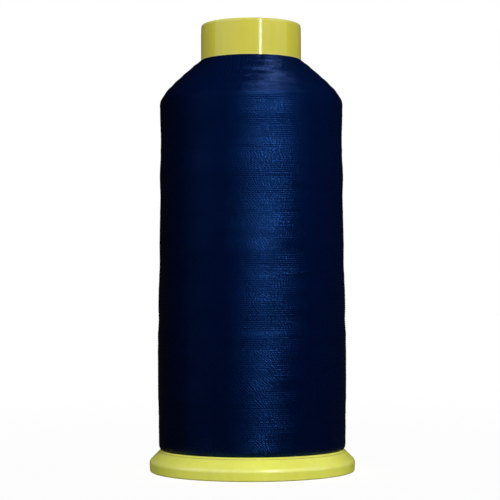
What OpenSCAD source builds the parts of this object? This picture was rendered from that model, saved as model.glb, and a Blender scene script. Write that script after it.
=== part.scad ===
// King spool of machine embroidery thread with a snap-lock foot.
// The tube carries the thread and ends in a flange; the foot clips into the tube's lower end.
// The foot stands on z = 0, the spool's axis is Z, and every size is in millimetres.

/* [Spool] */
// Height of the whole spool, from the table to the rim of the neck
spool_h = 135; // [115:1:180]
// Height of bare tube that stands out above the thread
neck_h = 10.9; // [6:0.1:20]

/* [Tube] */
// Outside diameter of the tube
tube_d = 30.4; // [28:0.1:34]
// Thickness of the tube's wall
tube_wall = 1.6; // [1.4:0.05:2]
// Radius of the rounding on the outer edge of the rim
rim_round = 0.7; // [0.3:0.1:1]
// Chamfer on the inner edge of the rim
mouth_chamfer = 0.5; // [0.2:0.1:0.6]
// Distance from the rim down to the mould's parting line
parting_drop = 3.1; // [2:0.1:5]
// Draft of the short stretch above the parting line, on the radius
parting_draft = 0.08; // [0.04:0.01:0.15]
// Thickness of the flange that the thread stands on
flange_t = 2.1; // [1.5:0.1:2.4]
// Thickness of the flange's thin edge, which covers the foot's lip
flange_edge_t = 0.5; // [0.35:0.01:0.6]

/* [Foot] */
// Diameter of the foot's band
foot_d = 62; // [60:0.5:70]
// Height of the upright band
band_h = 3.3; // [3:0.1:5]
// Rise and run of the 45 degree bevel, the flange's edge included
bevel_h = 3.3; // [3.2:0.1:4.2]
// Radius of the softened crease between band and bevel
crease_round = 1.8; // [0.3:0.1:2.2]
// Draft of the band, on the radius: how much narrower it is at the table
band_draft = 0.12; // [0.05:0.01:0.2]
// Radius of the rounding on the foot's lower edge
foot_round = 0.5; // [0.2:0.1:0.8]
// Thickness of the band and of the bevel over the moulding groove
band_wall = 1.4; // [1.1:0.05:1.7]
// Width of the lip's top
lip_w = 1.45; // [1.2:0.05:1.8]
// Thickness of the ring between the moulding groove and the thread chamber
web_wall = 1.3; // [1:0.05:1.5]
// Thickness of the foot's floor
floor_t = 1.5; // [1.1:0.1:1.7]
// Depth of the recess under the floor
recess_h = 0.8; // [0.5:0.1:1.2]
// Broken edge on the lip's inner corner
lip_break = 0.1; // [0.05:0.05:0.2]

/* [Snap lock] */
// Height of the hub above the floor
hub_h = 12; // [10.5:0.5:16]
// Thickness of the hub's wall
hub_wall = 1.4; // [1.1:0.05:1.7]
// Number of slots that part the hub into spring fingers
finger_slots = 4; // [3:1:5]
// Width of each slot
slot_w = 3; // [2.6:0.1:3.6]
// Height of solid hub left under the slots
hub_root_h = 3.7; // [3:0.1:4.5]
// How far the bead on the fingers stands out
bead_out = 0.45; // [0.3:0.05:0.5]
// Height of the bead, its lead-in included
bead_h = 1.2; // [1:0.1:1.6]
// Travel of the snap lock, from shut to open
lift = 3; // [2:0.1:3.5]
// Width of the tube's keys, which run in the slots
key_w = 2; // [1.5:0.1:2.2]
// How far the keys stand into the tube
key_in = 1; // [0.7:0.05:1.2]

/* [Clearances] */
// Radial clearance between hub and tube
hub_gap = 0.05; // [0.03:0.01:0.08]
// Radial clearance over the bead in its groove
bead_gap = 0.2; // [0.1:0.05:0.25]
// Clearance at each end of the bead's travel, and under the keys
end_gap = 0.1; // [0.05:0.05:0.3]
// Gap between the lip and the flange's edge, which pinches the thread's end
pinch_gap = 0.08; // [0.06:0.01:0.15]
// Radial clearance between the flange's step and the lip
step_gap = 0.4; // [0.2:0.05:0.6]

/* [Thread] */
// Diameter just above the rounded lower edge
low_d = 56.3; // [56:0.1:58]
// Height of the rounded lower edge
edge_h = 2; // [1.5:0.1:4]
// Width of bare flange left around the thread's foot
flange_ledge = 0.3; // [0.1:0.05:0.6]
// Greatest diameter, in the lower half
belly_d = 56.9; // [56:0.1:59]
// Height of the greatest diameter above the flange
belly_up = 25; // [15:0.5:35]
// Least diameter of the barrel, near its top
waist_d = 54.9; // [53:0.1:57]
// Distance of the least diameter below the shoulder
waist_down = 10.7; // [6:0.1:16]
// Diameter where the shoulder starts
top_d = 55.4; // [53:0.1:57]
// Height of the sloping shoulder
shoulder_h = 13.5; // [10:0.1:20]
// Roundness of the shoulder: 1 is a straight cone
shoulder_curve = 1.5; // [1:0.01:2.2]

/* [Label] */
// Thickness of the paper label under the foot
label_t = 0.1; // [0.08:0.01:0.2]
// Width of bare floor left around the label
label_margin = 1; // [0.5:0.1:2]
// Width of bare floor between the pin hole and the label
label_hole_margin = 3; // [1.5:0.1:5]

/* [Hidden] */
$fn = 96;

// Foot
foot_r = foot_d / 2;
flange_z = band_h + bevel_h;                       // top of the flange, where the thread starts
flange_edge_z = flange_z - flange_edge_t;
lip_z = flange_edge_z - pinch_gap;
floor_z = recess_h + floor_t;                      // the tube stands here when the lock is shut
chamber_r = bevel_r(lip_z) - lip_w;
groove_out_r = foot_r - band_wall;
groove_in_r = chamber_r + web_wall;
groove_z = band_h + band_wall - band_wall * sqrt(2);

// Tube
tube_r = tube_d / 2;
tube_in_r = tube_r - tube_wall;
tube_break = 0.3;                                  // broken edges of the tube's lower end
step_r = chamber_r - step_gap;

// Snap lock
hub_r = tube_in_r - hub_gap;
pin_r = hub_r - hub_wall;
hub_z = floor_z + hub_h;
slot_z = floor_z + hub_root_h;
bead_r = hub_r + bead_out;
bead_z = hub_z - bead_h;
bead_crest_h = bead_h / 2;
lead_in = 0.25;                                    // how far the fingers' tips draw in
pin_chamfer = 0.5;
groove_r = bead_r + bead_gap;
groove_top = hub_z + end_gap;
groove_low = bead_z - lift - end_gap;
key_z = slot_z + 3 * end_gap;

// Thread
ledge_r = bevel_r(flange_z) - flange_ledge;
winding_top = spool_h - neck_h;
shoulder_z = winding_top - shoulder_h;
edge_z = flange_z + edge_h;
belly_z = flange_z + belly_up;
waist_z = shoulder_z - waist_down;
edge_steps = 6;
barrel_steps = 40;
shoulder_steps = 14;

// Radius of the bevel's surface at a height
function bevel_r(z) = foot_r - (z - band_h);

// Points of an arc about (r, z), from one angle to another
function arc(r, z, radius, from, to, steps = 5) =
    [for (i = [0:steps]) let (a = from + (to - from) * i / steps) [r + radius * cos(a), z + radius * sin(a)]];

// Smooth rise from 0 to 1
function ease(t) = (1 - cos(180 * t)) / 2;
function blend_d(d1, d2, t) = d1 + (d2 - d1) * ease(t);

// Diameter of the thread's barrel at a height
function barrel_d(z) =
    z < belly_z ? blend_d(low_d, belly_d, (z - edge_z) / (belly_z - edge_z))
    : z < waist_z ? blend_d(belly_d, waist_d, (z - belly_z) / (waist_z - belly_z))
    : blend_d(waist_d, top_d, (z - waist_z) / (shoulder_z - waist_z));

// Radius of the rounded lower edge, t from 0 at the flange to 1 at the barrel
function edge_r(t) = ledge_r + (low_d / 2 - ledge_r) * sqrt(1 - pow(1 - t, 2));

// Radius of the shoulder, t from 0 at the barrel to 1 at the neck
function shoulder_r(t) = tube_r + (top_d / 2 - tube_r) * (1 - pow(t, shoulder_curve));

// Tube with its flange, the groove for the fingers' bead, and the keys that stop it turning on the foot
module core_tube() {
    color("#cfc94e") {
        rotate_extrude() polygon(concat(
            [
                [tube_in_r + tube_break, floor_z],
                [tube_r - tube_break, floor_z],
                [tube_r, floor_z + tube_break],
                [tube_r, flange_z - flange_t],
                [step_r, flange_z - flange_t],
                [step_r, flange_edge_z],
                [bevel_r(flange_edge_z), flange_edge_z],
                [bevel_r(flange_z), flange_z],
                [tube_r, flange_z],
                [tube_r, spool_h - parting_drop]
            ],
            arc(tube_r - parting_draft - rim_round, spool_h - rim_round, rim_round, 0, 90),
            [
                [tube_in_r + mouth_chamfer, spool_h],
                [tube_in_r, spool_h - mouth_chamfer],
                [tube_in_r, groove_top],
                [groove_r, groove_top],
                [groove_r, groove_low],
                [tube_in_r, groove_low],
                [tube_in_r, floor_z + tube_break]
            ]));
        for (i = [0:finger_slots - 1]) rotate(i * 360 / finger_slots)
            translate([tube_in_r - key_in, -key_w / 2, key_z])
                cube([key_in + tube_wall / 2, key_w, groove_low - key_z]);
    }
}

// Foot: band, bevel and lip around the thread chamber, and the hub with its spring fingers
module snap_base() {
    color("#dde066") difference() {
        rotate_extrude() polygon(concat(
            [
                [pin_r + pin_chamfer, recess_h],
                [chamber_r, recess_h],
                [chamber_r, 0],
                [groove_in_r, 0],
                [groove_in_r, groove_z],
                [groove_out_r, groove_z],
                [groove_out_r, 0]
            ],
            arc(foot_r - band_draft - foot_round, foot_round, foot_round, -90, 0),
            arc(foot_r - crease_round, band_h - crease_round * tan(22.5), crease_round, 0, 45),
            [
                [bevel_r(lip_z), lip_z],
                [chamber_r + lip_break, lip_z],
                [chamber_r, lip_z - lip_break],
                [chamber_r, floor_z],
                [hub_r, floor_z],
                [hub_r, bead_z],
                [bead_r, bead_z],
                [bead_r, bead_z + bead_crest_h],
                [hub_r - lead_in, hub_z],
                [pin_r, hub_z],
                [pin_r, recess_h + pin_chamfer]
            ]));
        for (i = [0:finger_slots - 1]) rotate(i * 360 / finger_slots)
            translate([pin_r / 2, -slot_w / 2, slot_z])
                cube([tube_r - pin_r / 2, slot_w, hub_h]);
    }
}

// The wound thread, as one ring on the tube, from the flange to the neck
module thread_winding() {
    color("#0b2350") rotate_extrude() polygon(concat(
        [[tube_r, flange_z]],
        [for (i = [0:edge_steps]) [edge_r(i / edge_steps), flange_z + edge_h * i / edge_steps]],
        [for (i = [1:barrel_steps]) let (z = edge_z + (shoulder_z - edge_z) * i / barrel_steps) [barrel_d(z) / 2, z]],
        [for (i = [1:shoulder_steps]) [shoulder_r(i / shoulder_steps), shoulder_z + shoulder_h * i / shoulder_steps]]
    ));
}

// Round paper label with a hole, stuck in the recess under the floor
module base_label() {
    color("#f2f0e8") translate([0, 0, recess_h - label_t]) difference() {
        cylinder(r = chamber_r - label_margin, h = label_t);
        translate([0, 0, -label_t]) cylinder(r = pin_r + label_hole_margin, h = 3 * label_t);
    }
}

core_tube();
snap_base();
thread_winding();
base_label();
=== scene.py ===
# %% [markdown]
# # A king spool of embroidery thread
# A king spool is the tall kind that embroidery machines run from. A hollow plastic tube carries a few
# kilometres of shiny two-ply thread. The tube's lower end is clipped into a bevelled foot, which pulls open
# by 3 mm to take the loose end of the thread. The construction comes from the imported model. This script
# gives the spool its looks: the wraps of thread one by one, the twist in them, and the glossy plastic.

# %% The frame
import math
from bisect import bisect_left
from functools import cache

import bpy
from mathutils import Matrix, Vector, noise


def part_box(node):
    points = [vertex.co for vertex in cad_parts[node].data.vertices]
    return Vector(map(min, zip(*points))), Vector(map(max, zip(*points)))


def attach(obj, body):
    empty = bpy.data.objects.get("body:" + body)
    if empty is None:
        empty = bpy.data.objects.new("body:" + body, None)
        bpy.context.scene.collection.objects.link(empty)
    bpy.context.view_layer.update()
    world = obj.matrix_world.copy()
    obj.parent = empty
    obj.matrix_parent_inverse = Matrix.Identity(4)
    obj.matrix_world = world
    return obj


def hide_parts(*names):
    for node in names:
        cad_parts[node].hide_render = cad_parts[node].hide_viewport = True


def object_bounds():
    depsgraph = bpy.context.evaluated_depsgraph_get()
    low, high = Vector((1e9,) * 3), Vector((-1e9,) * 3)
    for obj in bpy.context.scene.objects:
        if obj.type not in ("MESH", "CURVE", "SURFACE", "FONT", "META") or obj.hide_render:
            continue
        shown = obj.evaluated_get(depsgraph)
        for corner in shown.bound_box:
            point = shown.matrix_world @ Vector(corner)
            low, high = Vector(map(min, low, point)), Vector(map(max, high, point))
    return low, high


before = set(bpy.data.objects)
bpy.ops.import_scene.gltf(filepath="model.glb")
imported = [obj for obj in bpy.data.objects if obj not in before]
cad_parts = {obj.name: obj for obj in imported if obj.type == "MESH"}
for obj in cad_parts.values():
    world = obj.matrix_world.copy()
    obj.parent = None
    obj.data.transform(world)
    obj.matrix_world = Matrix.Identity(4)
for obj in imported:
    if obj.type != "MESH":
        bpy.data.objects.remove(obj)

cad_low, cad_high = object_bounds()
MM = 0.001
scene = bpy.context.scene
print("the spool stands", round((cad_high.z - cad_low.z) / MM, 1), "mm tall")

# %% [markdown]
# ## Where the camera stands
# A long lens, level with the lower half of the spool and a little under half a metre off, looks up by a
# degree and a half. So the neck is seen from just below its rim, and the foot from just above. It is turned
# to the left by a hair, which sets the spool a pixel to the right of the middle.

# %% The camera
CAMERA_DISTANCE = 0.491    # m
CAMERA_HEIGHT = 0.0536     # m
CAMERA_LENS = 116.6        # mm
CAMERA_PITCH = math.radians(1.52)
CAMERA_ROLL = math.radians(0.18)
CAMERA_YAW = math.radians(0.063)

bpy.ops.object.camera_add(
    location=(0, -CAMERA_DISTANCE, CAMERA_HEIGHT),
    rotation=(math.pi / 2 + CAMERA_PITCH, CAMERA_ROLL, CAMERA_YAW),
)
camera = bpy.context.object
camera.name = "camera"
camera.data.lens = CAMERA_LENS
scene.camera = camera
scene.view_settings.view_transform = "Standard"
print("camera looks from", CAMERA_DISTANCE, "m")

# %% [markdown]
# ## Nodes without clutter
# Every material below is wired from the same few calls. `set_socket` sets a value or makes a link,
# `add_node` places a node with its sockets set, and the others are short ways to the kinds of node that come
# back again and again.

# %% Helpers for nodes
def set_socket(tree, socket, value):
    """Links an output to a socket, or sets the socket's own value."""
    if isinstance(value, bpy.types.NodeSocket):
        tree.links.new(value, socket)
    else:
        socket.default_value = value


def add_node(tree, kind, settings=None, **sockets):
    """A new node. settings are its properties, and sockets its input values or links, by socket name."""
    node = tree.nodes.new("ShaderNode" + kind)
    for name, value in (settings or {}).items():
        setattr(node, name, value)
    for name, value in sockets.items():
        set_socket(tree, node.inputs[name.replace("_", " ")], value)
    return node


def math_node(tree, operation, *values):
    """The result of one Math node."""
    node = add_node(tree, "Math", {"operation": operation})
    for socket, value in zip(node.inputs, values):
        set_socket(tree, socket, value)
    return node.outputs[0]


# %% Helpers for colours and ranges
MIX_FIRST, MIX_SECOND, MIX_RESULT = 6, 7, 2      # the Mix node's sockets for colours


def mix_colours(tree, factor, first, second, blend="MIX"):
    """The colour between two others, by a factor."""
    node = add_node(tree, "Mix", {"data_type": "RGBA", "blend_type": blend}, Factor=factor)
    set_socket(tree, node.inputs[MIX_FIRST], first)
    set_socket(tree, node.inputs[MIX_SECOND], second)
    return node.outputs[MIX_RESULT]


def rescale(tree, value, span, to_span):
    """value moved from one range to another, and held inside it."""
    node = add_node(tree, "MapRange", Value=value, From_Min=span[0], From_Max=span[1],
                    To_Min=to_span[0], To_Max=to_span[1])
    return node.outputs["Result"]


def new_material(name):
    """A material with an empty Principled shader."""
    material = bpy.data.materials.new(name)
    material.use_nodes = True
    return material, material.node_tree, material.node_tree.nodes["Principled BSDF"]


# %% [markdown]
# ## The table and the room
# The spool stands on a white table in a white room, as in a light tent. The camera sees the room as plain
# white, while the room gives off only a little light: the lamps do the rest. Light Path tells the two apart.
# It also hides the white from gloss, because a mirrored white room would lay a grey veil over dark thread.
# The table glows for the camera, a little more so further out, and still takes the foot's soft shadow.

# %% The table
TABLE_SIZE = 6.0
TABLE_NEAR = 0.08         # m from the spool's axis, where the table starts to get whiter
TABLE_FAR = 0.5           # m from the axis, where it is plain white
TABLE_NEAR_WHITE = 0.97   # what it shows the camera, whatever the light, close to the spool
TABLE_GREY = 0.35         # how much of the light it gives back
ROOM_IN_GLOSS = 0.005     # table and room as glossy things mirror them


def seen_as(tree, camera_value, gloss_value, light_value):
    """A value for what the camera sees, another for mirrors and glass, and a third for what gives light."""
    ray = add_node(tree, "LightPath")
    mirrored = math_node(tree, "MAXIMUM", ray.outputs["Is Glossy Ray"], ray.outputs["Is Transmission Ray"])
    unseen = rescale(tree, mirrored, (0, 1), (light_value, gloss_value))
    return rescale(tree, ray.outputs["Is Camera Ray"], (0, 1), (unseen, camera_value))


bpy.ops.object.select_all(action="DESELECT")
bpy.ops.mesh.primitive_plane_add(size=TABLE_SIZE, location=(0, 0, 0))
table = bpy.context.object
table.name = "table"
table_paint, tree, shader = new_material("table_paint")
tree.nodes.remove(shader)
spot = add_node(tree, "TexCoord")
from_axis = add_node(tree, "VectorMath", {"operation": "LENGTH"}, Vector=spot.outputs["Object"])
table_white = rescale(tree, from_axis.outputs["Value"], (TABLE_NEAR, TABLE_FAR), (TABLE_NEAR_WHITE, 1.0))
lit = add_node(tree, "BsdfDiffuse", Color=(TABLE_GREY, TABLE_GREY, TABLE_GREY, 1))
glow = add_node(tree, "Emission", Strength=seen_as(tree, table_white, ROOM_IN_GLOSS, 0.0))
both = add_node(tree, "AddShader")
tree.links.new(lit.outputs[0], both.inputs[0])
tree.links.new(glow.outputs[0], both.inputs[1])
tree.links.new(both.outputs[0], tree.nodes["Material Output"].inputs["Surface"])
table.data.materials.append(table_paint)
print("table of", TABLE_SIZE, "m laid")

# %% The room
ROOM_LIGHT = 0.02         # the room as it lights the spool

room = bpy.data.worlds.new("room")
room.use_nodes = True
scene.world = room
room_glow = room.node_tree.nodes["Background"]
room_glow.inputs["Color"].default_value = (1, 1, 1, 1)
set_socket(room.node_tree, room_glow.inputs["Strength"],
           seen_as(room.node_tree, 1.0, ROOM_IN_GLOSS, ROOM_LIGHT))
print("table and room are white")

# %% [markdown]
# ## Soft lamps
# Every lamp is a flat area lamp, because a small hard lamp gives small hard glints. Its strength is given as
# the brightness of its surface, so that a lamp can change its size without changing how bright its
# reflection is. A narrow spread works like the honeycomb grid in front of a studio lamp: it keeps the light
# in a beam. The camera doesn't see the lamps themselves.

# %% Helpers for lamps
def soft_lamp(name, place, aim, width, height, brightness, lights, spread=180):
    """A flat lamp turned towards a point. brightness is that of its surface, spread the angle of its beam in
    degrees, and lights the collection that it lights."""
    bpy.ops.object.light_add(type="AREA", location=place)
    lamp = bpy.context.object
    lamp.name = name
    lamp.data.shape = "RECTANGLE"
    lamp.data.size = width
    lamp.data.size_y = height
    lamp.data.energy = brightness * width * height * math.pi
    lamp.data.spread = math.radians(spread)
    lamp.rotation_mode = "QUATERNION"
    lamp.rotation_quaternion = (Vector(aim) - Vector(place)).to_track_quat("-Z", "Y")
    lamp.light_linking.receiver_collection = lights
    lamp.visible_camera = False
    return lamp


def standing_lamp(name, azimuth, distance, middle, **lamp):
    """A lamp upright round the spool, facing its axis, with its middle at a height. Azimuth 0 is the camera's
    side, and it grows to the right. lamp holds the rest of soft_lamp's values."""
    turn = math.radians(azimuth)
    place = (distance * math.sin(turn), -distance * math.cos(turn), middle)
    return soft_lamp(name, place, (0, 0, middle), **lamp)


# %% [markdown]
# ## Light for the thread
# Dark shiny thread shows little but its highlight. A tall strip lamp at the right draws it: each ply of each
# wrap catches that lamp where it faces it, so the highlight is a band of short dashes. A box behind the strip
# and a wing on each side add the even glow around it. All end above the table and have grids, so the thread
# gets darker towards the foot. A weak fill lights the left side. White walls would lay a grey veil over the
# navy, so the thread doesn't see the tent that lights the plastic. On a set that is done with black card,
# here with light linking.

# %% Lamps for the thread
on_the_thread = bpy.data.collections.new("on_the_thread")
THREAD_LAMPS = (           # name, azimuth, distance, height of its middle, width, height, brightness, spread
    ("thread_strip", 29.5, 1.2, 0.57, 0.055, 0.62, 3.3, 39),
    ("thread_box", 20.5, 1.35, 0.62, 1.15, 0.7, 0.72, 43),
    ("thread_wing_-6", -6, 1.35, 0.85, 0.5, 0.7, 0.8, 50),
    ("thread_wing_46", 46, 1.35, 0.85, 0.5, 0.7, 1.2, 50),
    ("thread_fill", -60, 1.35, 0.72, 1.2, 0.9, 0.065, 56),
)
for name, azimuth, distance, middle, width, height, brightness, spread in THREAD_LAMPS:
    standing_lamp(name, azimuth, distance, middle, width=width, height=height, brightness=brightness,
                  lights=on_the_thread, spread=spread)
print(len(THREAD_LAMPS), "lamps stand round the thread")

# %% [markdown]
# The shoulder slopes back, so it mirrors what hangs higher up. An arch of lamps, from in front of the
# shoulder to right above it and a little to the right, carries the highlight on up to the neck. Each lamp is
# turned so that its long side follows the arch.

# %% The arch over the shoulder
SHOULDER = Vector((0, 0, 0.118))
ARCH_RADIUS = 1.12
ARCH_ASIDE = 0.31          # m that it hangs to the right of the spool's axis
ARCH_HEIGHT = 0.12         # m, the height of its centre
ARCH_BRIGHTNESS = {        # angle up from the front: brightness
    30: 0.015, 42: 0.02, 54: 0.024, 66: 0.034, 78: 0.065, 90: 0.1}

for angle, brightness in ARCH_BRIGHTNESS.items():
    turn = math.radians(angle)
    place = Vector((ARCH_ASIDE, -ARCH_RADIUS * math.cos(turn), ARCH_HEIGHT + ARCH_RADIUS * math.sin(turn)))
    lamp = soft_lamp(f"shoulder_lamp_{angle}", place, SHOULDER, width=0.14, height=0.45,
                     brightness=brightness, lights=on_the_thread, spread=16)
    back = (place - SHOULDER).normalized()
    side = (Vector((1, 0, 0)) - back * back.x).normalized()
    lamp.rotation_quaternion = Matrix((side, back.cross(side), back)).transposed().to_quaternion()
print("arch of", len(ARCH_BRIGHTNESS), "lamps hung")

# %% [markdown]
# ## Light for the plastic
# The pale plastic stands in a light tent: six white walls, bright in front and nearly dark behind, so that
# its edges stay yellow and don't mirror white. A box overhead lights the bevel. A strip of its own draws the
# bright line down the neck.

# %% The light tent
TENT_RADIUS = 1.3
TENT_HEIGHT = 1.5
TENT_WALLS = {0: 0.93, 60: 1.45, 120: 0.15, 180: 0.03, 240: 0.15, 300: 1.55}  # azimuth: brightness
NECK_STRIP_AZIMUTH = 21.5
TOP_BOX_RIGHT = 0.15       # m from the spool's axis
TOP_BOX_BACK = 0.45
TOP_BOX_HEIGHT = 1.0

in_the_tent = bpy.data.collections.new("in_the_tent")
for name in ("core_tube", "snap_base", "base_label"):
    in_the_tent.objects.link(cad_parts[name])

wall_width = 2 * TENT_RADIUS * math.tan(math.pi / len(TENT_WALLS))
for azimuth, brightness in TENT_WALLS.items():
    standing_lamp(f"tent_wall_{azimuth}", azimuth, distance=TENT_RADIUS, middle=TENT_HEIGHT / 2,
                  width=wall_width, height=TENT_HEIGHT, brightness=brightness, lights=in_the_tent)
soft_lamp("top_box", (TOP_BOX_RIGHT, TOP_BOX_BACK, TOP_BOX_HEIGHT), (TOP_BOX_RIGHT, TOP_BOX_BACK, 0),
          width=1.6, height=1.6, brightness=0.34, lights=in_the_tent)
standing_lamp("neck_strip", NECK_STRIP_AZIMUTH, distance=1.2, middle=0.75,
              width=0.055, height=1.1, brightness=48, lights=in_the_tent)
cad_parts["core_tube"].visible_glossy = False      # the dull side of the thread mirrors no neck
print("tent of", len(TENT_WALLS), "walls placed")

# %% [markdown]
# ## Node groups
# What tube and foot have in common is built once, as a node group with named inputs and outputs. All patterns
# are worked out from the place on the piece: its distance from the axis and its height, or soft noise.

# %% Helpers for node groups
def new_group(name, inputs, outputs):
    """An empty node group. inputs and outputs are {socket name: (type, start value)}."""
    group = bpy.data.node_groups.new(name, "ShaderNodeTree")
    for sockets, in_out in ((inputs, "INPUT"), (outputs, "OUTPUT")):
        for socket_name, (kind, value) in sockets.items():
            socket = group.interface.new_socket(socket_name, in_out=in_out, socket_type="NodeSocket" + kind)
            socket.default_value = value
    return group, group.nodes.new("NodeGroupInput").outputs, group.nodes.new("NodeGroupOutput").inputs


def noise_at(tree, place, size, detail=2.0, stretch=(1, 1, 1)):
    """Soft noise from 0 to 1 with spots of about a size in metres, longer where stretch is larger."""
    scaled = add_node(tree, "VectorMath", {"operation": "DIVIDE"}, Vector=place)
    set_socket(tree, scaled.inputs[1], [size * factor for factor in stretch])
    return add_node(tree, "TexNoise", Vector=scaled.outputs[0], Scale=1.0, Detail=detail).outputs[0]


def turned_place(tree, place):
    """The distance from the spool's axis and the height, in metres, of a place on the piece."""
    axes = add_node(tree, "SeparateXYZ", Vector=place).outputs
    flat = add_node(tree, "CombineXYZ", X=axes["X"], Y=axes["Y"])
    radius = add_node(tree, "VectorMath", {"operation": "LENGTH"}, Vector=flat.outputs[0])
    return radius.outputs["Value"], axes["Z"]


# %% [markdown]
# ## The surface of a moulded part
# Tube and foot are injection moulded in polypropylene. Its colour isn't quite even: it clouds over a few
# centimetres, it streaks along the way the melt ran, and it turns warmer here and there. The gloss has a fine
# ripple and a few rubbed patches.

# %% A node group for moulded plastic
CLOUD_SIZE = 17 * MM
STREAK_SIZE = 2.2 * MM
STREAK_STRETCH = (1, 1, 14)
STREAK_STRENGTH = 0.14
WARM_SIZE = 11 * MM
WARM_STRETCH = (1, 1, 2)
WARM_CAST = (1.0, 0.955, 0.8, 1)
RUBBED_SIZE = 6 * MM
RIPPLE_SIZE = 3 * MM
GRAIN_SIZE = 0.25 * MM
GRAIN_SHARE = 0.06         # height of the grain against that of the ripple

moulded, given, result = new_group("moulded_surface", {
    "Colour": ("Color", (0.6, 0.6, 0.1, 1)), "Gloss Roughness": ("Float", 0.15), "Streaks": ("Float", 1.0),
}, {
    "Colour": ("Color", (1, 1, 1, 1)), "Roughness": ("Float", 0.15), "Height": ("Float", 0.0),
})
place = add_node(moulded, "TexCoord").outputs["Object"]
clouds = rescale(moulded, noise_at(moulded, place, CLOUD_SIZE), (0.3, 0.7), (0.95, 1.04))
streaks = noise_at(moulded, place, STREAK_SIZE, stretch=STREAK_STRETCH)
streaks = math_node(moulded, "MULTIPLY", math_node(moulded, "SUBTRACT", streaks, 0.5), given["Streaks"])
shade = math_node(moulded, "MULTIPLY_ADD", streaks, STREAK_STRENGTH, clouds)
shaded = mix_colours(moulded, 1.0, given["Colour"], shade, "MULTIPLY")
warm = noise_at(moulded, place, WARM_SIZE, detail=1.0, stretch=WARM_STRETCH)
warmth = rescale(moulded, warm, (0.45, 0.72), (0.0, 0.5))
warmer = mix_colours(moulded, 1.0, shaded, WARM_CAST, "MULTIPLY")
set_socket(moulded, result["Colour"], mix_colours(moulded, warmth, shaded, warmer))
rubbed = rescale(moulded, noise_at(moulded, place, RUBBED_SIZE, detail=4.0), (0.56, 0.7), (0.0, 0.09))
set_socket(moulded, result["Roughness"], math_node(moulded, "ADD", given["Gloss Roughness"], rubbed))
ripple = noise_at(moulded, place, RIPPLE_SIZE, detail=1.0)
grain = noise_at(moulded, place, GRAIN_SIZE, detail=1.0)
set_socket(moulded, result["Height"], math_node(moulded, "MULTIPLY_ADD", grain, GRAIN_SHARE, ripple))
print("group", moulded.name, "has", len(moulded.nodes), "nodes")

# %% [markdown]
# ## Rubbed rings and painted light lines
# Edges that hands and cartons rub turn pale and dull. Along the thread's edges on the tube the same pale ring
# is a painted highlight, a thin light line. On a turned shape each such place is a ring, with a radius and a
# height. The mask is 1 on the ring, fades over its width, and is broken up by noise.

# %% A node group for rubbed rings and painted light lines
BREAK_SIZE = 2.5 * MM

rubbed_and_lit_ring, given, result = new_group("rubbed_and_lit_ring", {
    "Radius": ("Float", 0.03), "Height": ("Float", 0.0), "Width": ("Float", 0.001), "Breaks": ("Float", 0.5),
}, {
    "Mask": ("Float", 0.0),
})
place = add_node(rubbed_and_lit_ring, "TexCoord").outputs["Object"]
radius, height = turned_place(rubbed_and_lit_ring, place)
aside = math_node(rubbed_and_lit_ring, "SUBTRACT", radius, given["Radius"])
above = math_node(rubbed_and_lit_ring, "SUBTRACT", height, given["Height"])
squares = math_node(rubbed_and_lit_ring, "MULTIPLY_ADD", aside, aside, math_node(rubbed_and_lit_ring, "MULTIPLY", above, above))
away = math_node(rubbed_and_lit_ring, "DIVIDE", math_node(rubbed_and_lit_ring, "SQRT", squares), given["Width"])
ring = rescale(rubbed_and_lit_ring, away, (0.2, 1.0), (1.0, 0.0))
broken = rescale(rubbed_and_lit_ring, noise_at(rubbed_and_lit_ring, place, BREAK_SIZE, detail=3.0), (0.38, 0.62), (0.0, 1.0))
missing = math_node(rubbed_and_lit_ring, "SUBTRACT", broken, 1.0)
kept = math_node(rubbed_and_lit_ring, "MULTIPLY_ADD", missing, given["Breaks"], 1.0)
set_socket(rubbed_and_lit_ring, result["Mask"], math_node(rubbed_and_lit_ring, "MULTIPLY", ring, kept))
print("group", rubbed_and_lit_ring.name, "has", len(rubbed_and_lit_ring.nodes), "nodes")

# %% [markdown]
# ## Yellow plastic
# The neck's wall is thin and the tube is dark inside, so it looks a little deeper and warmer than the foot:
# that shade is painted into the neck's colour. The flange belongs to the tube's moulding but is painted as
# pale as the foot below it. The foot's paler, greener colour is partly its own and partly painted light. The
# tube's material therefore changes colour with the distance from the axis. A little light goes under the
# surface, as in all polypropylene that isn't filled.

# %% The plastic's material
# painted shade and light: one yellow plastic, deeper and warmer near the axis, paler from the flange outwards
NECK_SHADE_COLOUR = (0.61, 0.57, 0.055, 1)
FOOT_COLOUR = (0.78, 0.8, 0.11, 1)
# pale rubbed edges, and also the painted light lines along the thread's edges
PALE_WEAR_AND_LINE = (0.80, 0.80, 0.42, 1)
NECK_ENDS = 16 * MM        # from the axis: inside it the plastic has the neck's colour
FOOT_STARTS = 17 * MM      # and outside this it has the foot's
WORN_ROUGHNESS = 0.2       # how much duller a rubbed edge is
RIPPLE_HEIGHT = 0.006 * MM


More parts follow.
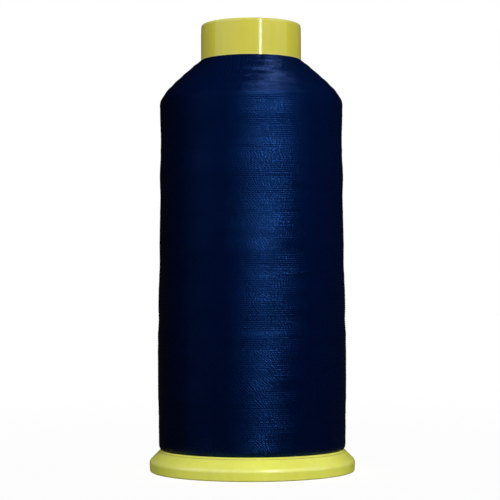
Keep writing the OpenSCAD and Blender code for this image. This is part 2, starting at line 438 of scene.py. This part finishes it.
def yellow_plastic(name, roughness, gloss, rings):
    """Moulded plastic. rings are (radius, height, width, strength, breaks), the first three in mm."""
    material, tree, shader = new_material(name)
    shader.inputs["Specular IOR Level"].default_value = gloss
    shader.inputs["Subsurface Weight"].default_value = 0.08
    shader.inputs["Subsurface Radius"].default_value = (1.0, 0.8, 0.25)
    shader.inputs["Subsurface Scale"].default_value = 1.5 * MM
    radius, height = turned_place(tree, add_node(tree, "TexCoord").outputs["Object"])
    outside = rescale(tree, radius, (NECK_ENDS, FOOT_STARTS), (0.0, 1.0))
    # painted shade: the neck's deeper colour inside NECK_ENDS, the paler flange and foot outside FOOT_STARTS
    plain = mix_colours(tree, outside, NECK_SHADE_COLOUR, FOOT_COLOUR)
    surface = add_node(tree, "Group", {"node_tree": moulded}, Colour=plain, Gloss_Roughness=roughness).outputs
    colour, dull = surface["Colour"], surface["Roughness"]
    for radius_mm, height_mm, width_mm, strength, breaks in rings:
        ring = add_node(tree, "Group", {"node_tree": rubbed_and_lit_ring}, Radius=radius_mm * MM,
                        Height=height_mm * MM, Width=width_mm * MM, Breaks=breaks)
        mask = math_node(tree, "MULTIPLY", ring.outputs["Mask"], strength)
        # rubbed pale edges, and painted light lines along the thread's edges
        colour = mix_colours(tree, mask, colour, PALE_WEAR_AND_LINE)
        dull = math_node(tree, "MULTIPLY_ADD", mask, WORN_ROUGHNESS, dull)
    set_socket(tree, shader.inputs["Base Color"], colour)
    set_socket(tree, shader.inputs["Roughness"], dull)
    bump = add_node(tree, "Bump", Height=surface["Height"], Distance=RIPPLE_HEIGHT, Strength=1.0)
    set_socket(tree, shader.inputs["Normal"], bump.outputs["Normal"])
    return material


# %% [markdown]
# Both mouldings take their rings from the frame: the rim is at the top of the whole spool, and the thread's
# lower edge is the top of the flange. The tube mirrors sharply but weakly. The foot, which is handled and
# stands on tables, has a broader and stronger sheen.

# %% The two plastics
NECK_RADIUS = 15.2         # mm
BEVEL = 3.3                # mm that the bevel rises and runs in
LIP_DROP = 0.6             # mm from the flange's top down to the foot's lip
rim = cad_high.z / MM
foot_radius = cad_high.x / MM
thread_low, thread_top = (corner.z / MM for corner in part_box("thread_winding"))
TUBE_RINGS = (             # radius, height and width in mm, strength, breaks
    (NECK_RADIUS, rim, 1.1, 0.30, 0.6),                  # the rim
    # painted highlight: a thin light line where the thread meets the neck
    (NECK_RADIUS, thread_top + 0.1, 0.4, 0.2, 0.5),      # where the thread meets the neck
    # painted highlight: a thin light line at the flange's edge, under the thread
    (foot_radius - BEVEL, thread_low, 0.5, 0.15, 0.5),   # the flange's edge
)
lip_radius = foot_radius - BEVEL + LIP_DROP
FOOT_RINGS = (             # the same for the foot
    (foot_radius, thread_low - BEVEL, 1.6, 0.14, 0.8),   # the crease under the bevel
    (lip_radius, thread_low - LIP_DROP, 0.4, 0.1, 0.5),  # the lip
    (foot_radius, 0.1, 0.6, 0.3, 0.9),                   # the lower edge
)
tube_plastic = yellow_plastic("tube_plastic", roughness=0.13, gloss=0.35, rings=TUBE_RINGS)
foot_plastic = yellow_plastic("foot_plastic", roughness=0.28, gloss=0.9, rings=FOOT_RINGS)
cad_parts["core_tube"].data.materials[0] = tube_plastic
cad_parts["snap_base"].data.materials[0] = foot_plastic
# the tube's rings include two painted light lines along the thread's edges
print("plastic with", len(TUBE_RINGS), "rubbed rings on the tube and", len(FOOT_RINGS), "on the foot")

# %% [markdown]
# ## Label paper
# The label in the recess under the foot is uncoated white paper, left bare. Fibres that lie both ways give it
# a soft mottle and a slightly rough face.

# %% Paper
FIBRE_SIZE = 0.4 * MM
FIBRE_LENGTH = 3           # how many times longer than wide
FIBRE_HEIGHT = 0.02 * MM
PAPER_SHADE = (0.74, 0.72, 0.67, 1)
PAPER_WHITE = (0.88, 0.87, 0.84, 1)

paper, tree, shader = new_material("label_paper")
place = add_node(tree, "TexCoord").outputs["Object"]
fibres = noise_at(tree, place, FIBRE_SIZE, detail=4.0, stretch=(1, FIBRE_LENGTH, 1))
cross_fibres = noise_at(tree, place, FIBRE_SIZE, detail=4.0, stretch=(FIBRE_LENGTH, 1, 1))
felt = math_node(tree, "MULTIPLY", math_node(tree, "ADD", fibres, cross_fibres), 0.5)
mottle = rescale(tree, felt, (0.35, 0.65), (0.0, 1.0))
set_socket(tree, shader.inputs["Base Color"], mix_colours(tree, mottle, PAPER_SHADE, PAPER_WHITE))
set_socket(tree, shader.inputs["Roughness"], rescale(tree, felt, (0.3, 0.7), (0.9, 0.75)))
bump = add_node(tree, "Bump", Height=felt, Distance=FIBRE_HEIGHT, Strength=1.0)
set_socket(tree, shader.inputs["Normal"], bump.outputs["Normal"])
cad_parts["base_label"].data.materials[0] = paper
print("the label is of", paper.name)

# %% [markdown]
# ## Navy thread
# The thread is two plies of bright polyester filament, twisted together. Each ply is a smooth lobe that leans
# across the thread and catches the light on its own, which breaks the highlight into many short dashes. The
# piece's own UV map says where on the thread a point lies: along it, counted in plies, and across it. The
# rounded lobe and the groove between two plies come from those two numbers, and the groove is painted a
# darker navy, as painted shade. Soft noise moves the plies along the thread a little, so that the dashes of
# neighbouring wraps don't line up.

# %% The thread's material
GLOSS_TINT = (0.045, 0.225, 0.95, 1)       # the shine of dyed filament is blue too
PLY_NAVY = (0.0007, 0.016, 0.115, 1)
# painted shade: the colour in the groove between two plies, darker than the ply
GROOVE_SHADE_NAVY = (0.0003, 0.005, 0.038, 1)
PLY_HEIGHT = 0.045 * MM                    # from the groove between two plies to a ply's crest
STRAY_SIZE = 1.2 * MM                      # of the noise that moves the plies
STRAY = 1.3                                # how far it moves them, in plies


def navy_thread(name):
    """Twisted thread. In the UV map "thread", X counts plies along it and Y grows by 1 across it."""
    material, tree, shader = new_material(name)
    shader.inputs["Roughness"].default_value = 0.2
    shader.inputs["IOR"].default_value = 1.65
    shader.inputs["Specular IOR Level"].default_value = 1.0
    shader.inputs["Specular Tint"].default_value = GLOSS_TINT
    on_thread = add_node(tree, "UVMap", {"uv_map": "thread"})
    axes = add_node(tree, "SeparateXYZ", Vector=on_thread.outputs["UV"])
    across = math_node(tree, "FRACT", axes.outputs["Y"])
    side = math_node(tree, "MULTIPLY_ADD", across, 2.0, -1.0)
    round_it = math_node(tree, "ARCSINE", side)
    stray = noise_at(tree, add_node(tree, "TexCoord").outputs["Object"], STRAY_SIZE, detail=1.0)
    along = math_node(tree, "MULTIPLY_ADD", stray, STRAY, axes.outputs["X"])
    phase = math_node(tree, "MULTIPLY_ADD", round_it, 1 / math.pi, along)
    part = math_node(tree, "MULTIPLY_ADD", math_node(tree, "FRACT", phase), 2.0, -1.0)
    ply = math_node(tree, "SUBTRACT", 1.0, math_node(tree, "MULTIPLY", part, part))
    # painted shade: the base colour darkens from the ply's crest into the groove between plies
    set_socket(tree, shader.inputs["Base Color"], mix_colours(tree, ply, GROOVE_SHADE_NAVY, PLY_NAVY))
    bump = add_node(tree, "Bump", Height=ply, Distance=PLY_HEIGHT, Strength=1.0)
    set_socket(tree, shader.inputs["Normal"], bump.outputs["Normal"])
    return material


thread = navy_thread("thread")
print("thread with plies", round(PLY_HEIGHT / MM, 3), "mm high")

# %% [markdown]
# ## The winding's outline
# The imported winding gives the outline. It is read from the node: the outer radius at each height, from the
# flange up to the neck. Places on it are then given by their length along the outline, because the wraps lie
# side by side along it, on the shoulder as on the barrel.

# %% The outline
WRAP_PITCH = 0.60          # mm between wraps, along the outline

outer = {}
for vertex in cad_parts["thread_winding"].data.vertices:
    height = round(vertex.co.z / MM, 4)
    outer[height] = max(outer.get(height, 0), math.hypot(vertex.co.x, vertex.co.y) / MM)
heights = sorted(outer)
radii = [outer[height] for height in heights]
corners = list(zip(radii, heights))
lengths = [0.0]
for lower, upper in zip(corners, corners[1:]):
    lengths.append(lengths[-1] + math.dist(lower, upper))
wraps = round(lengths[-1] / WRAP_PITCH)
tube_radius = radii[-1]


def between(x, xs, ys):
    """y at x, on the line through the points (xs, ys)."""
    i = min(max(bisect_left(xs, x), 1), len(xs) - 1)
    t = (x - xs[i - 1]) / (xs[i] - xs[i - 1])
    return ys[i - 1] + (ys[i] - ys[i - 1]) * t


def outline_at(length):
    """(radius, height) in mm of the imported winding, at a length along its outline from the flange."""
    length = min(max(length, 0), lengths[-1])
    return between(length, lengths, radii), between(length, lengths, heights)


print("outline of", round(lengths[-1], 1), "mm takes", wraps, "wraps")

# %% [markdown]
# ## How wound thread settles
# Wound thread is never quite even. Soft bands stand out or sink in where it has settled, and a low ridge
# marks each height where the layers turn back. On the shoulder the layers end one after the other, which
# gives low steps. `relief` adds all of this up for a place on the winding.

# %% The relief of the winding
SETTLED = (                # height, rise and half width in mm of each band
    (89, 0.25, 7), (61, -0.18, 8), (45.5, -0.18, 5), (119, -0.25, 7))
LAY_STEP = 18.5            # mm between the heights where the layers turn back
LAY_START = 4.0            # mm, the first of them
LAY_RISE = 0.06            # mm that the ridge there stands up
LAY_WANDER = 0.8           # mm that the ridge wanders up and down
LAY_HALF = 0.07            # half the ridge's width, as a share of LAY_STEP
SWELL = 0.04               # mm that soft patches stand out or sink in
SHOULDER_STEP = 3.7        # mm along the shoulder from one step to the next
SHOULDER_RISE = 0.045      # mm, half a step's height
SHOULDER_HEIGHT = 13.6     # mm from the thread's top down to where the shoulder starts
NOISE_GAIN = 1.6           # raw noise seldom goes past 0.6
NOISE_SLICE = 0.5          # between two whole numbers, where raw noise has its full strength
shoulder_length = next(length for length, z in zip(lengths, heights) if z > thread_top - SHOULDER_HEIGHT)


def wave(x, y):
    """A smooth random value between about -1 and 1. It changes over a step of about 1 in x or y."""
    return noise.noise((x, y, NOISE_SLICE)) * NOISE_GAIN


def hill(x, middle, half_width):
    """A smooth hill, 1 at its middle and 0 at its edges."""
    t = min(abs(x - middle) / half_width, 1)
    return (1 + math.cos(math.pi * t)) / 2


def relief(length, height, turn):
    """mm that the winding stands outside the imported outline, as it has settled. turn is 0 to 1 round it."""
    rise = sum(size * hill(height, middle, half) for middle, size, half in SETTLED)
    wander = LAY_WANDER * wave(turn * 2, height * 0.05)      # over half a turn, and 20 mm up
    lay = (height - LAY_START + wander) / LAY_STEP
    rise += LAY_RISE * hill(lay - round(lay), 0, LAY_HALF)
    rise += SWELL * wave(length * 0.3, turn * 1.5)           # over 3 mm, and two thirds of a turn
    if length > shoulder_length:
        rise += SHOULDER_RISE * math.sin(2 * math.pi * (length - shoulder_length) / SHOULDER_STEP)
    return rise


print("shoulder starts", round(shoulder_length, 1), "mm along the outline")

# %% [markdown]
# ## The way of the thread
# The thread goes round the tube as one long helix, so that each wrap ends where the next one starts. Its
# pitch wanders a little, and single wraps stand proud or sunk. Both random waves are read along the thread,
# so that the thread itself stays smooth. Each wave has a line of the noise to itself.

# %% The helix
COLUMNS = 72               # steps round one wrap
UNEVEN_PITCH = 0.16        # how far a wrap strays from its place, in wraps
UNEVEN_WRAP = 0.016        # mm that a wrap may stand proud or sunk
RUN_IN = 3                 # wraps at the flange and at the neck over which this sets in
SLOPE_REACH = 0.6          # mm along the outline, to both sides of a place, that give its slope
PITCH_WAVE = (0.83, 3.7)   # steps of the noise per wrap, and the line of the noise
PROUD_WAVE = (1.21, 9.1)


def wave_along(wrap, pace, line):
    """A random wave along the thread, counted in wraps."""
    return wave(wrap * pace, line)


@cache
def wrap_place(step):
    """Where the thread is after a number of steps: its radius and height, the two parts of the direction that
    points out of the winding, how far it stands out, and a share that goes to 0 at the thread's ends."""
    wrap = step / COLUMNS
    length = (wrap + UNEVEN_PITCH * wave_along(wrap, *PITCH_WAVE)) * WRAP_PITCH
    r, z = outline_at(length)
    r0, z0 = outline_at(length - SLOPE_REACH)
    r1, z1 = outline_at(length + SLOPE_REACH)
    run = math.dist((r0, z0), (r1, z1))
    ends = min(1, wrap / RUN_IN, (wraps - wrap) / RUN_IN)
    rise = (relief(length, z, wrap % 1) + UNEVEN_WRAP * wave_along(wrap, *PROUD_WAVE)) * ends
    return r, z, (z1 - z0) / run, (r0 - r1) / run, rise, ends


print("the thread takes", wraps * COLUMNS, "steps")

# %% [markdown]
# The plies are counted along the thread, wrap by wrap. A whole number of them would stand exactly above those
# of the wrap below and draw upright lines, so each wrap slips by about half a ply, and they stray a little.

# %% Counting the plies
PLY_STEP = 0.86            # mm along the thread from one ply to the next
PLY_SLIP = 0.45            # how far the plies of a wrap stand beside those of the wrap below, in plies
SLIP_UNEVEN = 0.35         # how far that differs from wrap to wrap, in plies
PLY_DRIFT = 0.75           # how far plies stray along the thread, in plies
SLIP_WAVE = (3.7, 1.3)
DRIFT_WAVE = (35.7, 5.3)

plies = [0.0]              # plies up to the start of each wrap
for wrap in range(wraps + 3):
    whole = round(2 * math.pi * outline_at(wrap * WRAP_PITCH)[0] / PLY_STEP)
    plies.append(plies[-1] + whole + PLY_SLIP + SLIP_UNEVEN * wave_along(wrap, *SLIP_WAVE))


def plies_at(wrap, turn):
    """Plies along one wrap, from the back of the spool. Only their fraction runs on from wrap to wrap."""
    first = plies[wrap]
    drift = PLY_DRIFT * wave_along(wrap + turn, *DRIFT_WAVE)
    return first % 1 + (plies[wrap + 1] - first) * turn + drift


print("about", round(plies[wraps]), "plies on the outside")

# %% [markdown]
# ## Grids that are rolled up
# The winding and the strands on it are both made from a flat grid, with one column for each step along and
# one row for each step around. Its corners are moved to their places, and where the grid meets itself its
# doubles are merged, so that the shell is closed. A second UV map, without overlaps, is for baking.

# %% Helpers for rolled-up grids
def new_grid(columns, rows):
    """A flat grid, and the column and row of each of its corners."""
    bpy.ops.object.select_all(action="DESELECT")
    bpy.ops.mesh.primitive_grid_add(x_subdivisions=columns, y_subdivisions=rows, size=1, calc_uvs=True)
    piece = bpy.context.object
    piece.data.uv_layers[0].name = "thread"
    piece.data.uv_layers.new(name="OFBake")
    places = [(round((vertex.co.x + 0.5) * columns), round((vertex.co.y + 0.5) * rows))
              for vertex in piece.data.vertices]
    return piece, places


def close_up(piece):
    """Merges the doubles of a rolled-up grid, turns its faces outwards and shades it smooth, as thread."""
    bpy.ops.object.mode_set(mode="EDIT")
    bpy.ops.mesh.select_all(action="SELECT")
    bpy.ops.mesh.remove_doubles(threshold=0.0005 * MM)
    bpy.ops.mesh.normals_make_consistent(inside=False)
    bpy.ops.mesh.select_all(action="DESELECT")
    bpy.ops.object.mode_set(mode="OBJECT")
    bpy.ops.object.shade_smooth()
    piece.data.materials.append(thread)


# %% [markdown]
# ## The wraps
# The grid of the winding has four rows to a wrap: a wrap's crest stands a little outside the outline and the
# groove beside it a little inside. Two more rows lie on the tube, above and below the wraps, and close the
# shell. The faces that touch the tube along an edge stay flat, so that the shell's corners there look crisp.

# %% The wound thread
ROWS_PER_WRAP = 4          # steps across one wrap
TUBE_ROWS = 2              # rows that lie on the tube, counted as -2 and -1
WRAP_CREST = 0.045         # mm that a wrap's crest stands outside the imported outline
WRAP_GROOVE = -0.025       # mm that the groove beside it stands outside it


def winding_place(column, row):
    """The place in mm of one corner of the winding's grid."""
    if row < 0:
        r, z = tube_radius, wrap_place(0 if row == -1 else wraps * COLUMNS)[1]
    else:
        strand = row / ROWS_PER_WRAP
        step = column + round((strand - 1) * COLUMNS)
        r, z, out_r, out_z, rise, ends = wrap_place(min(max(step, 0), wraps * COLUMNS))
        lobe = math.sqrt(1 - (2 * (strand % 1) - 1) ** 2)
        rise += (WRAP_GROOVE + (WRAP_CREST - WRAP_GROOVE) * lobe) * ends
        r, z = r + out_r * rise, z + out_z * rise
    angle = 2 * math.pi * column / COLUMNS
    return Vector((-r * math.sin(angle), r * math.cos(angle), z))


def wound_thread(name):
    """The thread as it is wound, wrap by wrap, in one closed shell on the tube."""
    rows = (wraps + 1) * ROWS_PER_WRAP + TUBE_ROWS
    piece, places = new_grid(COLUMNS, rows)
    places = [(column, row - TUBE_ROWS) for column, row in places]
    piece.name = name
    mesh = piece.data
    on_thread, bake = mesh.uv_layers["thread"].data, mesh.uv_layers["OFBake"].data
    for face in mesh.polygons:
        wrap = max(min(places[index][1] for index in face.vertices) // ROWS_PER_WRAP, 0)
        for corner, index in zip(face.loop_indices, face.vertices):
            column, row = places[index]
            on_thread[corner].uv = (plies_at(wrap, column / COLUMNS), row / ROWS_PER_WRAP)
            bake[corner].uv = (column / COLUMNS, (row + TUBE_ROWS) / rows)
    for vertex, (column, row) in zip(mesh.vertices, places):
        vertex.co = winding_place(column, row) * MM
    close_up(piece)
    near_tube = (tube_radius + 0.01) * MM
    for face in mesh.polygons:
        inner = [index for index in face.vertices if mesh.vertices[index].co.xy.length < near_tube]
        face.use_smooth = len(inner) < 2
    return piece


wound = wound_thread("wound_thread")
on_the_thread.objects.link(wound)
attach(wound, "spool")
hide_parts("thread_winding")
print(wound.name, "has", len(wound.data.polygons), "faces")

# %% [markdown]
# ## Strands that cross the wraps
# Under the level wraps the layers cross. Here and there a strand of the last crossing layer lies on top: it
# comes out from between two wraps, runs round at a slant and goes under again. Each is a fine tube, made of
# a grid that is rolled up, with both ends sunk in the winding. It keeps the two-ply twist by its UV map.

# %% One crossing strand
CROSSING = (               # azimuth from the camera's side in degrees and height in mm, at both ends
    (22, 64.3, 64, 67.9), (18, 58.9, 64, 60.5), (-60, 62.5, -38, 59.6),
    (118, 93.5, 171, 98.4), (205, 45.2, 262, 39.6), (-150, 77.0, -104, 79.2))
STRAND_RADIUS = 0.13       # mm
STRAND_SIDES = 6           # round its tube
STRAND_STEP = 0.8          # mm between the rings of a strand's tube
STRAND_RISE = 0.03         # mm that its middle stands above the wraps' crests
STRAND_DIVE = 0.3          # mm that its ends go down
DIVE_POWER = 6             # the larger, the closer to its ends the strand goes down
BAKE_SHARE = 0.9           # of its strip of the baking map that a strand fills


def strand_middle(azimuth, height, t):
    """The middle of a strand's tube in mm at a share t of its way, and the way out of the winding there."""
    length = between(height, heights, lengths)
    rise = relief(length, height, (azimuth / 360 + 0.5) % 1) + WRAP_CREST + STRAND_RISE
    rise -= STRAND_DIVE * abs(2 * t - 1) ** DIVE_POWER
    turn = math.radians(azimuth)
    out = Vector((math.sin(turn), -math.cos(turn), 0))
    return out * (outline_at(length)[0] + rise) + Vector((0, 0, height)), out


def crossing_strand(number, from_azimuth, from_height, to_azimuth, to_height):
    """One rolled-up strand, as an object of its own."""
    start_radius = outline_at(between(from_height, heights, lengths))[0]
    run = math.radians(abs(to_azimuth - from_azimuth)) * start_radius
    rings = round(run / STRAND_STEP)
    piece, places = new_grid(rings, STRAND_SIDES)
    mesh = piece.data
    turns = [2 * math.pi * side / STRAND_SIDES - math.pi / 2 for side in range(STRAND_SIDES + 1)]
    for loop in mesh.loops:
        ring, side = places[loop.vertex_index]
        half = 0 if side <= STRAND_SIDES / 2 else 1
        across = half + (1 + math.sin(turns[side]) * (1 - 2 * half)) / 2
        mesh.uv_layers["thread"].data[loop.index].uv = (run * ring / rings / PLY_STEP, across)
        strip = number + BAKE_SHARE * side / STRAND_SIDES
        mesh.uv_layers["OFBake"].data[loop.index].uv = (ring / rings, strip / len(CROSSING))
    for vertex, (ring, side) in zip(mesh.vertices, places):
        t = ring / rings
        azimuth = from_azimuth + (to_azimuth - from_azimuth) * t
        middle, out = strand_middle(azimuth, from_height + (to_height - from_height) * t, t)
        along = Vector((-out.y, out.x, (to_height - from_height) / run)).normalized()
        away = out * math.cos(turns[side]) + along.cross(out) * math.sin(turns[side])
        radius = STRAND_RADIUS if 0 < ring < rings else 0       # each end closes in a point
        vertex.co = (middle + away * radius) * MM
    return piece


# %% [markdown]
# All the strands are one piece, because each of them alone is hardly there. They are joined first, and closed
# up together.

# %% The crossing strands
strands = [crossing_strand(number, *ends) for number, ends in enumerate(CROSSING)]
bpy.ops.object.select_all(action="DESELECT")
for strand in strands:
    strand.select_set(True)
crossing = strands[0]
bpy.context.view_layer.objects.active = crossing
bpy.ops.object.join()
crossing.name = "crossing_strands"
close_up(crossing)
on_the_thread.objects.link(crossing)
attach(crossing, "spool")
print(len(CROSSING), "crossing strands with", len(crossing.data.polygons), "faces")
